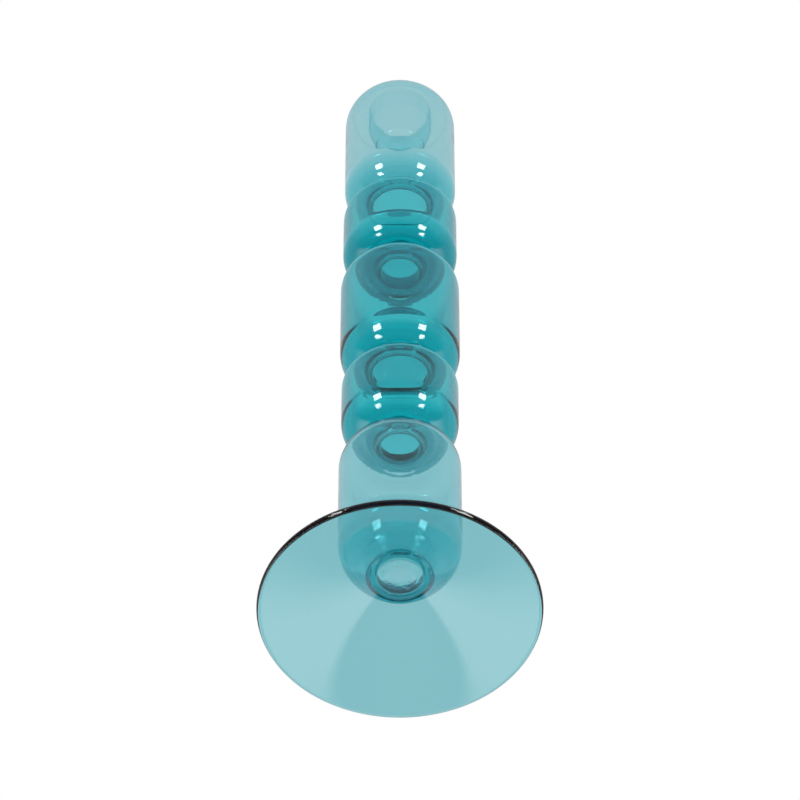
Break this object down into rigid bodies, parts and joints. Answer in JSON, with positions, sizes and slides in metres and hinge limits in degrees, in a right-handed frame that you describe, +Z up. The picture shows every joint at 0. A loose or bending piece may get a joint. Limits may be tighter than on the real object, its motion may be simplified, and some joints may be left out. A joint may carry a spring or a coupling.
{
  "type": "glass taper candlestick",
  "caption": "Tall transparent teal blown-glass candlestick: stacked hollow bulbs on a wide conical foot, with a socket for a taper candle on top.",
  "frame": {"origin": "centre of the ring the foot stands on, on the table plane", "axes": "+Z up along the candlestick's axis, from the foot to the candle socket; X and Y are free, because it is round"},
  "size_m": [0.1, 0.1, 0.297],
  "materials": {
    "teal_glass": "clear transparent teal glass, fire polished",
    "thick_teal_glass": "the same glass where it is thick, so it looks deeper",
    "pontil_glass": "the same glass with a rough broken scar"
  },
  "bodies": {
    "root": {"foot": "teal_glass", "foot_collar": "thick_teal_glass", "pontil_mark": "pontil_glass", "bulb_1": "teal_glass", "neck_1_2": "thick_teal_glass", "bulb_2": "thick_teal_glass", "neck_2_3": "thick_teal_glass", "bulb_3": "thick_teal_glass", "neck_3_4": "thick_teal_glass", "bulb_4": "thick_teal_glass", "neck_4_5": "thick_teal_glass", "bulb_5": "teal_glass", "candle_cup": "teal_glass", "cup_lip": "teal_glass"}
  },
  "joints": []
}
